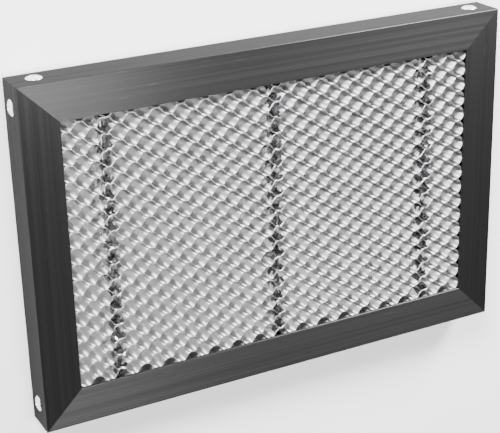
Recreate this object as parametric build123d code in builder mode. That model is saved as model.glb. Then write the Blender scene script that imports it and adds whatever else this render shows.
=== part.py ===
from build123d import *
import math
import os

os.makedirs("parts", exist_ok=True)

# Outside of the frame, lying flat: length along X, width along Y, thickness along Z.
# The origin is the centre of the underside.
length = 300.0
width = 200.0
thickness = 22.0

# Rail extrusion: a hollow chamber along the outside, and two lips that make a channel for the core.
rail_face = 22.0
lip = 6.0
wall = 1.5
edge_round = 0.4

# Corner angles, bent from strip, one in the chambers at each corner.
angle_leg = 40.0
angle_wall = 2.0
angle_bend = 3.0
angle_play = 0.3

# Blind rivets, one through each outer web and angle leg.
rivet_inset = 13.5
rivet_body_d = 4.8
rivet_hole_play = 0.1
rivet_head_d = 9.0
rivet_head_h = 1.5
rivet_rim_h = 0.35
rivet_bulb_d = 7.0
rivet_bulb_h = 3.5

# Core of folded foil ribbons. A cell is two folds wide, and its pitch is two ribbons.
foil = 0.2
fold_run = 7.31
cell_pitch = 9.38
core_headroom = 0.2
core_seat_play = 0.5

# Tie rods across the core, pushed through a square window in every ribbon.
rod_d = 2.0
rod_inset_folds = 4
rod_end_play = 0.25
window_play = 0.06

# Worked out from the sizes above
channel_floor = rail_face - lip
channel_length = length - 2 * channel_floor
channel_width = width - 2 * channel_floor
chamber_height = thickness - 2 * wall
core_depth = chamber_height - core_headroom

# Folds on each side of the middle one, and ribbons that fit between the channel floors
half_folds = math.floor(channel_length / 2 / fold_run)
fold_rise = cell_pitch / 2
ribbon_count = math.floor((channel_width - core_seat_play) / fold_rise)
core_front = -channel_width / 2 + core_seat_play

# Thickness of the sloping foil, measured along Y
foil_along_y = foil * math.hypot(fold_run, fold_rise) / fold_run

rod_folds = (rod_inset_folds - half_folds, 0, half_folds - rod_inset_folds)
rod_names = ("left", "centre", "right")
window_side = rod_d + 2 * window_play
window_z = wall + core_depth / 2
# The rod lies in the lower corner of its windows
rod_z = window_z - window_play * math.sqrt(2)


def finish(piece, name):
    """Label a finished piece and write it to its own file."""
    piece.label = name
    export_step(piece, f"parts/{name}.step")


def side_directions(turn):
    """Directions along and into the frame for the side at this turn from the front."""
    along = Vector(1, 0, 0).rotate(Axis.Z, turn)
    inward = Vector(0, 1, 0).rotate(Axis.Z, turn)
    return along, inward


def side_lengths(turn):
    """Length of the side at this turn, and its distance from the middle."""
    if turn % 180 == 0:
        return length, width / 2
    return width, length / 2


def rivet_planes(turn):
    """The two rivet places on one side, on its outer face and looking outwards."""
    along, inward = side_directions(turn)
    run, reach = side_lengths(turn)
    middle = Vector(0, 0, thickness / 2) - inward * reach
    ends = (rivet_inset - run / 2, run / 2 - rivet_inset)
    return [Plane(middle + along * end, x_dir=along, z_dir=-inward) for end in ends]


side_turns = {"front": 0, "right": 90, "back": 180, "left": 270}

# Rails: one section, extruded along its side and mitred through the outer corners
for side, turn in side_turns.items():
    along, inward = side_directions(turn)
    run, reach = side_lengths(turn)
    section = Plane(-inward * reach, x_dir=inward, z_dir=along)
    chamber_width = rail_face - lip - 2 * wall
    with BuildPart() as rail:
        with BuildSketch(section) as profile:
            with Locations((rail_face / 2, thickness / 2)):
                Rectangle(rail_face, thickness)
            fillet(profile.vertices(), edge_round)
            with Locations((wall + chamber_width / 2, thickness / 2)):
                Rectangle(chamber_width, chamber_height, mode=Mode.SUBTRACT)
            with Locations((channel_floor, thickness / 2)):
                Rectangle(2 * lip, chamber_height, align=(Align.MIN, Align.CENTER), mode=Mode.SUBTRACT)
        extrude(amount=run / 2, both=True)
        for end in (-1, 1):
            outer_corner = -inward * reach + along * (end * run / 2)
            split(bisect_by=Plane(outer_corner, z_dir=inward + along * end), keep=Keep.BOTTOM)
        for place in rivet_planes(turn):
            with BuildSketch(place):
                Circle((rivet_body_d + rivet_hole_play) / 2)
            extrude(amount=-wall, mode=Mode.SUBTRACT)
    finish(rail.part, f"rail_{side}")

# Corner angles: two legs against the outer webs, joined by a bend
angle_outline = [
    (0, 0),
    (angle_leg, 0),
    (angle_leg, angle_wall),
    (angle_wall, angle_wall),
    (angle_wall, angle_leg),
    (0, angle_leg),
]
for end_name, x_sign in (("left", -1), ("right", 1)):
    for side, y_sign in (("front", -1), ("back", 1)):
        corner_x = x_sign * (length / 2 - wall)
        corner_y = y_sign * (width / 2 - wall)
        with BuildPart() as angle:
            with BuildSketch(Plane.XY.offset(wall)) as legs:
                with BuildLine():
                    Polyline(
                        [(corner_x - x_sign * u, corner_y - y_sign * v) for u, v in angle_outline],
                        close=True,
                    )
                make_face()
                inner = legs.vertices().sort_by_distance((corner_x, corner_y, 0))[1]
                fillet(inner, angle_bend - angle_wall)
                outer = legs.vertices().sort_by_distance((corner_x, corner_y, 0))[0]
                fillet(outer, angle_bend)
            extrude(amount=chamber_height - angle_play)
            for turn in side_turns.values():
                for place in rivet_planes(turn):
                    with BuildSketch(place.offset(-wall)):
                        Circle((rivet_body_d + rivet_hole_play) / 2)
                    extrude(amount=-angle_wall, mode=Mode.SUBTRACT)
        finish(angle.part, f"corner_angle_{side}_{end_name}")

# Rivets: a low dome outside, a body through web and leg, and the upset end inside.
# The dome's arc passes a point at these shares of the head's diameter and of the dome's rise.
shoulder_out = 0.29
shoulder_up = 0.72
grip = wall + angle_wall
with BuildPart() as rivet:
    with BuildSketch(Plane.XZ):
        with BuildLine():
            rim = (rivet_head_d / 2, rivet_rim_h)
            crown = (0, rivet_head_h)
            dome_rise = rivet_head_h - rivet_rim_h
            shoulder = (rivet_head_d * shoulder_out, rivet_rim_h + dome_rise * shoulder_up)
            ThreePointArc(crown, shoulder, rim)
            Polyline(
                rim,
                (rivet_head_d / 2, 0),
                (rivet_body_d / 2, 0),
                (rivet_body_d / 2, -grip),
                (rivet_bulb_d / 2, -grip),
                (rivet_body_d / 2, -grip - rivet_bulb_h),
                (0, -grip - rivet_bulb_h),
                crown,
            )
        make_face()
    revolve(axis=Axis.Z)
with BuildPart() as rivets:
    for turn in side_turns.values():
        for place in rivet_planes(turn):
            with Locations(place):
                add(rivet.part)
finish(rivets.part, "corner_rivets")

# Tie rods: they end just short of the channel floors
for name, fold in zip(rod_names, rod_folds):
    with BuildPart() as rod:
        with BuildSketch(Plane.XZ):
            with Locations((fold * fold_run, rod_z)):
                Circle(rod_d / 2)
        extrude(amount=channel_width / 2 - rod_end_play, both=True)
    finish(rod.part, f"tie_rod_{name}")


def ribbon_edges(index):
    """Front and back edges of one ribbon from above, fold by fold."""
    low = core_front + index * fold_rise
    high = low + fold_rise
    front, back = [], []
    for fold in range(-half_folds, half_folds + 1):
        x = fold * fold_run
        # Folds turn back at every other place, and the next ribbon does the opposite
        if (fold - half_folds + index) % 2 == 0:
            front.append((x, low))
            back.append((x, low + foil_along_y))
        else:
            front.append((x, high - foil_along_y))
            back.append((x, high))
    return front, back


# Ribbons: neighbours meet at their folds, which closes the cells
for index in range(ribbon_count):
    front, back = ribbon_edges(index)
    with BuildPart() as ribbon:
        with BuildSketch(Plane.XY.offset(wall)):
            with BuildLine():
                Polyline(front + back[::-1], close=True)
            make_face()
        extrude(amount=core_depth)
        with BuildSketch(Plane.XZ):
            with Locations([(fold * fold_run, window_z) for fold in rod_folds]):
                Rectangle(window_side, window_side, rotation=45)
        extrude(amount=width / 2, both=True, mode=Mode.SUBTRACT)
    finish(ribbon.part, f"core_ribbon_{index + 1:02d}")
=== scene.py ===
import math
import random

import bmesh
import bpy
from mathutils import Matrix, Vector, noise


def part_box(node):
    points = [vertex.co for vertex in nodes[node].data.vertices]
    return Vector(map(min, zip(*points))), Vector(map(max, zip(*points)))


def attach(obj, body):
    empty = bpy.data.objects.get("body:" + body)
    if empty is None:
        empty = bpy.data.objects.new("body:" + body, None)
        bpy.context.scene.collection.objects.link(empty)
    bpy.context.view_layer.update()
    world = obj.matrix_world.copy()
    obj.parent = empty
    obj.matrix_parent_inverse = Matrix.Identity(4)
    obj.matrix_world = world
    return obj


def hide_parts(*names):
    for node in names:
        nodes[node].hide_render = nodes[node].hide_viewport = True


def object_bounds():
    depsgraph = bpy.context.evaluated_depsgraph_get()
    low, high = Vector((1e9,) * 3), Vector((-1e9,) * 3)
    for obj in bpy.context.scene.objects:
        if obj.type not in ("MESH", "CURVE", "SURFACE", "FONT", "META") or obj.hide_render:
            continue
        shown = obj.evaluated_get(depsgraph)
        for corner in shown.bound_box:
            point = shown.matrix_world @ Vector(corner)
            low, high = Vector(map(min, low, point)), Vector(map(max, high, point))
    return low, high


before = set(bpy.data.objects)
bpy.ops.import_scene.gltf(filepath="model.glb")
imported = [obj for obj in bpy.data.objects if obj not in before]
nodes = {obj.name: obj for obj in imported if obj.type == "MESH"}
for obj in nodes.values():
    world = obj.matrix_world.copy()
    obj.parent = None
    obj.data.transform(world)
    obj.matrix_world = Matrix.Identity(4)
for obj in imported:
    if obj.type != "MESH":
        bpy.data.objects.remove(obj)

MM = 0.001
cad_box = [list(corner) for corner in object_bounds()]
random.seed(7)

# Core lattice, as the solids have it
RIBBONS = sorted(name for name in nodes if name.startswith("core_ribbon_"))
RODS = ("tie_rod_left", "tie_rod_centre", "tie_rod_right")
FOLDS = 36
FOIL = 0.2 * MM

# Ribbon meshes: how flat the folds are, and where the points lie along and down the foil
FOLD_FLATNESS = 1.5
STEPS_PER_FOLD = 10
DEPTH_LEVELS = (0, 0.04, 0.16, 0.28, 0.36, 0.43, 0.5, 0.57, 0.64, 0.72, 0.84, 0.96, 1)

# Slight unevenness of the core, slower down the foil than across it, and the sway of each fold
UNEVEN_SIZE = 26 * MM
UNEVEN_Y = 0.22 * MM
UNEVEN_X = 0.3 * MM
UNEVEN_HEIGHT_SHARE = 0.3
UNEVEN_X_OFFSET = Vector((9, 4, 2))
FOLD_SWAY = 0.05 * MM
SWAY_AT_FOOT = 0.5

# Holes that the rods tore, their edges ragged with so many waves per metre
TEAR_RADIUS = 1.3 * MM
TEAR_RAGGEDNESS = 0.25
TEAR_WAVES = 900

# Dents and crumples around the rods, so many times as tall as they are wide
DENT_REACH = 3.8 * MM
DENT_CUTOFF = 3 * DENT_REACH
DENT_TALLNESS = 2
DENT_PUSH = 0.9 * MM
CRUMPLE = 3.0 * MM
CRUMPLE_REACH = 1.4 * DENT_REACH
COARSE_CRUMPLE = 2.8 * MM
FINE_CRUMPLE = 1.5 * MM
FINE_SHARE = 0.5

# Painted shade: darker foil along the rods, where the crumples lie, below the upper rims
PAINTED_SHADE_REACH = 3.5 * MM
PAINTED_SHADE_RAGGEDNESS = 0.3
PAINTED_SHADE_WAVE = 3 * MM
RIM_DEPTH = 1.0 * MM

# Material slots of a ribbon's faces, each followed by the slot of its cut edge
SOUND = 0
PAINTED_SHADE_SLOT = 2

# Faces that meet more sharply than this keep a hard edge
SHARP_ANGLE = math.radians(40)

# Rivets: outline from the crown to the upset end, as radius and height in millimetres
RIVET_INSET = 13.5 * MM
RIVET_OUTLINE = (
    (0, 0.95), (1.05, 0.95), (1.2, 1.38), (1.9, 1.36), (2.9, 1.12), (3.8, 0.72), (4.3, 0.42), (4.5, 0.18),
    (4.46, 0), (2.4, 0), (2.4, -3.5), (3.5, -3.5), (3.3, -5.2), (2.4, -7), (0, -7),
)
RIVET_SEGMENTS = 40

# Camera fitted to the frame's corners in the photograph
IMAGE_WIDTH_PX = 500
FOCAL_PX = 1371.9
SENSOR_WIDTH_MM = 36
CAMERA_AT = Vector((-0.35003, 0.29671, 0.66484))
CAMERA_LOOK = Vector((0.42333, -0.37688, -0.82387))
CAMERA_UP = Vector((0.19608, 0.92593, -0.32282))
CAMERA_NEAREST = 10 * MM

# Studio: a floor just below the bed, and dim surroundings
FLOOR_HALF_WIDTH = 4
FLOOR_DROP = 0.4 * MM
SURROUNDINGS = 0.14

# Most values of a noise pattern lie in this span
NOISE_SPAN = (0.3, 0.7)

# Blue of a faintly cool grey, as a multiple of its red and green
COOL_CAST = 1.01

# Sockets of a colour mix
MIX_FACTOR, MIX_UNDER, MIX_OVER, MIX_RESULT = 0, 6, 7, 2

# Greys of the anodised rails: plain, from band to band, and of the marks over the bands
RAIL_GREY = (0.07, 0.07, 0.072)
RAIL_BANDS = (0.046, 0.06)
RAIL_LINES = (0.08, 0.08, 0.082, 1)
RAIL_SPECKS = (0.25, 0.25, 0.25, 1)
RAIL_SCRATCHES = (0.2, 0.2, 0.2, 1)

# Tint of the rails' glancing reflections
RAIL_GLANCING = (0.3, 0.3, 0.3, 1)


def shader(name, metallic, roughness, color):
    """A new material, its node tree, and its shader with plain values, which patterns may refine."""
    mat = bpy.data.materials.new(name)
    mat.use_nodes = True
    bsdf = mat.node_tree.nodes["Principled BSDF"]
    bsdf.inputs["Metallic"].default_value = metallic
    bsdf.inputs["Roughness"].default_value = roughness
    bsdf.inputs["Base Color"].default_value = (*color, 1)
    return mat, mat.node_tree, bsdf


def grain(tree, waves, detail):
    """Noise with its own number of waves per metre along each axis of the object."""
    coord = tree.nodes.new("ShaderNodeTexCoord")
    mapping = tree.nodes.new("ShaderNodeMapping")
    mapping.inputs["Scale"].default_value = waves
    tex = tree.nodes.new("ShaderNodeTexNoise")
    tex.inputs["Scale"].default_value = 1
    tex.inputs["Detail"].default_value = detail
    tree.links.new(coord.outputs["Object"], mapping.inputs["Vector"])
    tree.links.new(mapping.outputs["Vector"], tex.inputs["Vector"])
    return tex.outputs["Fac"]


def remap(tree, value, low, high, out_low, out_high):
    """A value's span from low to high, spread over another span."""
    node = tree.nodes.new("ShaderNodeMapRange")
    for key, number in zip(("From Min", "From Max", "To Min", "To Max"), (low, high, out_low, out_high)):
        node.inputs[key].default_value = number
    tree.links.new(value, node.inputs["Value"])
    return node.outputs["Result"]


def ramp(tree, value, dark, light):
    """A faintly cool grey that goes from dark to light over the span of a noise."""
    node = tree.nodes.new("ShaderNodeValToRGB")
    for element, place, grey in zip(node.color_ramp.elements, NOISE_SPAN, (dark, light)):
        element.position = place
        element.color = (grey, grey, grey * COOL_CAST, 1)
    tree.links.new(value, node.inputs["Fac"])
    return node.outputs["Color"]


def bump(tree, bsdf, *layers):
    """Bump layers, each a pattern and its height in metres, one over the other."""
    last = None
    for pattern, height in layers:
        node = tree.nodes.new("ShaderNodeBump")
        node.inputs["Distance"].default_value = height
        tree.links.new(pattern, node.inputs["Height"])
        if last:
            tree.links.new(last, node.inputs["Normal"])
        last = node.outputs["Normal"]
    tree.links.new(last, bsdf.inputs["Normal"])


def cover(tree, under, color, pattern, start, full, most):
    """A colour laid over another, from not at all at a pattern's start to the most where it is full."""
    fac = remap(tree, pattern, start, full, 0, most)
    node = tree.nodes.new("ShaderNodeMix")
    node.data_type = "RGBA"
    tree.links.new(fac, node.inputs[MIX_FACTOR])
    tree.links.new(under, node.inputs[MIX_UNDER])
    node.inputs[MIX_OVER].default_value = color
    return node.outputs[MIX_RESULT]


def vary_roughness(tree, bsdf, pattern, least, most):
    """Roughness that goes from least to most over the span of a noise."""
    tree.links.new(remap(tree, pattern, *NOISE_SPAN, least, most), bsdf.inputs["Roughness"])


def stretch_highlights(tree, bsdf, amount, axis):
    """Draw the highlights out along one of the object's axes."""
    bsdf.inputs["Anisotropic"].default_value = amount
    direction = tree.nodes.new("ShaderNodeCombineXYZ")
    direction.inputs[axis].default_value = 1
    tree.links.new(direction.outputs["Vector"], bsdf.inputs["Tangent"])


def anodised(name, along_x):
    """Dark satin anodising on a rail, with the extrusion's fine lines along it."""

    def drawn(along, across):
        """Waves per metre of a pattern that is drawn out along the rail."""
        return (along, across, across) if along_x else (across, along, across)

    mat, tree, bsdf = shader(name, metallic=0.9, roughness=0.3, color=RAIL_GREY)
    fine = grain(tree, drawn(along=6, across=2600), detail=3)
    broad = grain(tree, drawn(along=1.5, across=320), detail=2)
    specks = grain(tree, (700, 700, 700), detail=1)
    scratches = grain(tree, drawn(along=60, across=1900), detail=0)
    banded = ramp(tree, broad, *RAIL_BANDS)
    lined = cover(tree, banded, RAIL_LINES, fine, start=0.35, full=0.65, most=0.5)
    specked = cover(tree, lined, RAIL_SPECKS, specks, start=0.82, full=0.86, most=0.5)
    scratched = cover(tree, specked, RAIL_SCRATCHES, scratches, start=0.83, full=0.88, most=0.4)
    tree.links.new(scratched, bsdf.inputs["Base Color"])
    vary_roughness(tree, bsdf, broad, least=0.33, most=0.38)
    bsdf.inputs["Specular Tint"].default_value = RAIL_GLANCING
    stretch_highlights(tree, bsdf, amount=0.85, axis="Y" if along_x else "X")
    bump(tree, bsdf, (fine, 0.004 * MM), (broad, 0.01 * MM))
    return mat


def foil_metal(name, tone, roughness):
    """Satin foil with fine lines, dull patches, and highlights drawn out down the cells."""
    mat, tree, bsdf = shader(name, metallic=1, roughness=roughness, color=(tone, tone, tone))
    lines = grain(tree, (1500, 1500, 25), detail=3)
    patches = grain(tree, (130, 130, 60), detail=3)
    pits = grain(tree, (2400, 2400, 2400), detail=1)
    patched = ramp(tree, patches, dark=tone * 0.86, light=tone)
    line_grey = (tone * 0.7, tone * 0.7, tone * 0.71, 1)
    lined = cover(tree, patched, line_grey, lines, start=0.35, full=0.7, most=0.3)
    tree.links.new(lined, bsdf.inputs["Base Color"])
    vary_roughness(tree, bsdf, patches, least=roughness - 0.07, most=roughness + 0.1)
    stretch_highlights(tree, bsdf, amount=0.95, axis="Z")
    bump(tree, bsdf, (lines, 0.04 * MM), (pits, 0.005 * MM))
    return mat


def plain_metal(name, tone, roughness, waves):
    """Bare metal with tool or draw marks."""
    mat, tree, bsdf = shader(name, metallic=1, roughness=roughness, color=(tone, tone, tone))
    marks = grain(tree, waves, detail=3)
    tree.links.new(ramp(tree, marks, dark=tone * 0.8, light=tone), bsdf.inputs["Base Color"])
    vary_roughness(tree, bsdf, marks, least=roughness, most=roughness + 0.15)
    bump(tree, bsdf, (marks, 0.02 * MM))
    return mat


RAIL_X = anodised("anodised_long_rails", along_x=True)
RAIL_Y = anodised("anodised_short_rails", along_x=False)
FOIL_FACE = foil_metal("satin_foil", tone=0.73, roughness=0.53)
FOIL_EDGE = plain_metal("foil_cut_edge", tone=0.5, roughness=0.4, waves=(2000, 2000, 2000))
# Darker foil that paints the shade of the crumples along the rods
FOIL_PAINTED_SHADE = plain_metal("painted_shade_foil", tone=0.5, roughness=0.16, waves=(420, 420, 260))
RIVET = plain_metal("bright_rivet", tone=0.93, roughness=0.2, waves=(900, 900, 900))
ROD = plain_metal("drawn_rod", tone=0.7, roughness=0.25, waves=(2500, 20, 2500))
MILL = plain_metal("mill_finish_angle", tone=0.6, roughness=0.4, waves=(60, 60, 1800))


def dress(name, mat):
    """Give a solid's own mesh its finish."""
    for place in nodes[name].material_slots:
        place.material = mat


for side, mat in (("front", RAIL_X), ("back", RAIL_X), ("left", RAIL_Y), ("right", RAIL_Y)):
    dress(f"rail_{side}", mat)
for rod in RODS:
    dress(rod, ROD)
for name in nodes:
    if name.startswith("corner_angle_"):
        dress(name, MILL)


def add_mesh(name, bm, mats):
    """A mesh object in the scene, shaded smooth, from a finished bmesh."""
    mesh = bpy.data.meshes.new(name)
    bm.to_mesh(mesh)
    bm.free()
    for mat in mats:
        mesh.materials.append(mat)
    mesh.shade_smooth()
    obj = bpy.data.objects.new(name, mesh)
    bpy.context.scene.collection.objects.link(obj)
    return obj


def crisp(piece):
    """Apply the modifiers, then shade with sharp edges, so that a thin rim stays thin."""
    depsgraph = bpy.context.evaluated_depsgraph_get()
    shape = bpy.data.meshes.new_from_object(piece.evaluated_get(depsgraph))
    piece.modifiers.clear()
    piece.data = shape
    shape.set_sharp_from_angle(angle=SHARP_ANGLE)


rod_middles = [(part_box(rod)[0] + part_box(rod)[1]) / 2 for rod in RODS]

# The core keeps between its first and last ribbon, less half a foil
core_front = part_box(RIBBONS[0])[0].y + FOIL / 2
core_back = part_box(RIBBONS[-1])[1].y - FOIL / 2


def dent(x, y, z):
    """How far the foil is pushed along Y near the rods: a dent, and the crumples in it."""
    push = 0
    for middle in rod_middles:
        away = math.hypot(x - middle.x, (z - middle.z) / DENT_TALLNESS)
        if away < DENT_CUTOFF:
            place = Vector((x, y, z))
            fold = noise.noise(place / COARSE_CRUMPLE) + FINE_SHARE * noise.noise(place / FINE_CRUMPLE)
            push += DENT_PUSH * math.exp(-((away / DENT_REACH) ** 2))
            push += CRUMPLE * fold * math.exp(-((away / CRUMPLE_REACH) ** 2))
    return push


def torn(point):
    """Whether a rod tore the foil away here."""
    ragged = TEAR_RADIUS * (1 + TEAR_RAGGEDNESS * noise.noise(point * TEAR_WAVES))
    return any(math.hypot(point.x - m.x, point.z - m.z) < ragged for m in rod_middles)


def in_painted_shade(point, top):
    """Whether the foil gets painted shade here: along the rods, below the upper rims."""
    ragged = PAINTED_SHADE_REACH * (1 + PAINTED_SHADE_RAGGEDNESS * noise.noise(point / PAINTED_SHADE_WAVE))
    return point.z < top - RIM_DEPTH and any(abs(point.x - m.x) < ragged for m in rod_middles)


def foil_point(x, y, z, level, sway):
    """A point of the even lattice, moved to where the foil really runs."""
    lattice = Vector((x, y, z * UNEVEN_HEIGHT_SHARE)) / UNEVEN_SIZE
    y += UNEVEN_Y * noise.noise(lattice) + sway * (SWAY_AT_FOOT + level)
    shift_x = UNEVEN_X * noise.noise(lattice + UNEVEN_X_OFFSET)
    y = min(max(y + dent(x, y, z), core_front), core_back)
    return x + shift_x, y, z


def foil_sheet(low, high, start):
    """A ribbon's middle surface between two corners, as a wave that starts on the side of this sign."""
    run = (high.x - low.x) / FOLDS
    middle_y = (low.y + high.y) / 2
    reach = (high.y - low.y - FOIL) / 2
    sways = [random.uniform(-FOLD_SWAY, FOLD_SWAY) for _ in range(FOLDS + 2)]
    bm = bmesh.new()
    columns = []
    for step in range(FOLDS * STEPS_PER_FOLD + 1):
        along = step / STEPS_PER_FOLD
        fold, part = int(along), along - int(along)
        sway = sways[fold] * (1 - part) + sways[fold + 1] * part
        wave = math.tanh(FOLD_FLATNESS * math.cos(math.pi * along)) / math.tanh(FOLD_FLATNESS)
        x = low.x + along * run
        y = middle_y + start * reach * wave
        column = []
        for level in DEPTH_LEVELS:
            z = low.z + level * (high.z - low.z)
            column.append(bm.verts.new(foil_point(x, y, z, level, sway)))
        columns.append(column)
    for left, right in zip(columns, columns[1:]):
        for corners in zip(left, right, right[1:], left[1:]):
            centre = sum((v.co for v in corners), Vector()) / len(corners)
            if not torn(centre):
                face = bm.faces.new(corners)
                # Faces along the rods take the darker foil of painted shade
                face.material_index = PAINTED_SHADE_SLOT if in_painted_shade(centre, high.z) else SOUND
    loose = [v for v in bm.verts if not v.link_faces]
    bmesh.ops.delete(bm, geom=loose, context="VERTS")
    return bm


def foil_ribbon(index, node):
    """One ribbon with rounded folds that meets its neighbours, torn where the rods pass."""
    low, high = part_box(node)
    start = -1 if index % 2 == 0 else 1
    bm = foil_sheet(low, high, start)
    finishes = (FOIL_FACE, FOIL_EDGE, FOIL_PAINTED_SHADE, FOIL_EDGE)
    piece = add_mesh(node.replace("core_ribbon", "foil_ribbon"), bm, finishes)
    walls = piece.modifiers.new("foil", "SOLIDIFY")
    walls.thickness = FOIL
    walls.offset = 0
    walls.material_offset_rim = 1
    crisp(piece)
    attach(piece, "root")
    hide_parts(node)


for index, node in enumerate(RIBBONS):
    foil_ribbon(index, node)


def rivet_places():
    """Matrices of the eight rivets, with +Z out of the rail's outer face."""
    low, high = Vector(cad_box[0]), Vector(cad_box[1])
    middle_z = (low.z + high.z) / 2
    half_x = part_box("rail_front")[1].x
    half_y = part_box("rail_left")[1].y
    places = []
    for sign in (-1, 1):
        for end in (-1, 1):
            long_side = Matrix.Translation((end * (half_x - RIVET_INSET), sign * half_y, middle_z))
            places.append(long_side @ Matrix.Rotation(-sign * math.pi / 2, 4, "X"))
            short_side = Matrix.Translation((sign * half_x, end * (half_y - RIVET_INSET), middle_z))
            places.append(short_side @ Matrix.Rotation(sign * math.pi / 2, 4, "Y"))
    return places


def rivets():
    """The rivets, turned from one outline."""
    bm = bmesh.new()
    for place in rivet_places():
        rings = []
        for radius, height in RIVET_OUTLINE:
            ring = []
            for k in range(RIVET_SEGMENTS if radius else 1):
                angle = 2 * math.pi * k / RIVET_SEGMENTS
                point = Vector((radius * math.cos(angle), radius * math.sin(angle), height)) * MM
                ring.append(bm.verts.new(place @ point))
            rings.append(ring)
        for upper, lower in zip(rings, rings[1:]):
            for k in range(RIVET_SEGMENTS):
                corners = [upper[k % len(upper)], lower[k % len(lower)]]
                corners += [lower[(k + 1) % len(lower)], upper[(k + 1) % len(upper)]]
                # At the axis a ring is one point, and the face a triangle
                bm.faces.new(list(dict.fromkeys(corners)))
    bmesh.ops.recalc_face_normals(bm, faces=bm.faces)
    piece = add_mesh("blind_rivets", bm, (RIVET,))
    crisp(piece)
    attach(piece, "root")
    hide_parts("corner_rivets")


rivets()


def floor():
    """A plain pale floor under the bed."""
    bm = bmesh.new()
    bmesh.ops.create_grid(bm, x_segments=1, y_segments=1, size=FLOOR_HALF_WIDTH)
    bmesh.ops.translate(bm, verts=bm.verts, vec=(0, 0, -FLOOR_DROP))
    mat, _, bsdf = shader("pale_floor", metallic=0, roughness=0.9, color=(0.93, 0.93, 0.93))
    bsdf.inputs["Specular IOR Level"].default_value = 0.1
    add_mesh("floor", bm, (mat,))


def softbox(name, at, aim, size, watts):
    """A rectangular soft light that faces a point."""
    light = bpy.data.lights.new(name, "AREA")
    light.shape = "RECTANGLE"
    light.size, light.size_y = size
    light.energy = watts
    obj = bpy.data.objects.new(name, light)
    turn = (Vector(aim) - Vector(at)).to_track_quat("-Z", "Y").to_matrix().to_4x4()
    obj.matrix_world = Matrix.Translation(at) @ turn
    bpy.context.scene.collection.objects.link(obj)


def studio():
    """Dim white surroundings, one light above the bed and two low ones behind it."""
    world = bpy.data.worlds.new("studio")
    world.use_nodes = True
    background = world.node_tree.nodes["Background"]
    background.inputs["Color"].default_value = (1, 1, 1, 1)
    background.inputs["Strength"].default_value = SURROUNDINGS
    bpy.context.scene.world = world
    # The right edge of this light ends the bright stretch on the back rail
    softbox("overhead", at=(-0.103, 0.05, 1.2), aim=(-0.103, 0.05, 0), size=(0.894, 0.25), watts=24)
    softbox("back_right", at=(0.75, 0.9, 0.5), aim=(0, 0, 0), size=(0.4, 0.4), watts=50)
    softbox("back_left", at=(-0.6, 1.1, 0.75), aim=(0, 0, 0), size=(0.6, 0.5), watts=70)


def camera():
    """The photograph's viewpoint."""
    data = bpy.data.cameras.new("camera")
    data.sensor_fit = "HORIZONTAL"
    data.sensor_width = SENSOR_WIDTH_MM
    data.lens = FOCAL_PX / IMAGE_WIDTH_PX * data.sensor_width
    data.clip_start = CAMERA_NEAREST
    obj = bpy.data.objects.new("camera", data)
    look = CAMERA_LOOK.normalized()
    right = look.cross(CAMERA_UP).normalized()
    up = right.cross(look)
    turn = Matrix((right, up, -look)).transposed().to_4x4()
    obj.matrix_world = Matrix.Translation(CAMERA_AT) @ turn
    bpy.context.scene.collection.objects.link(obj)
    bpy.context.scene.camera = obj


floor()
studio()
camera()
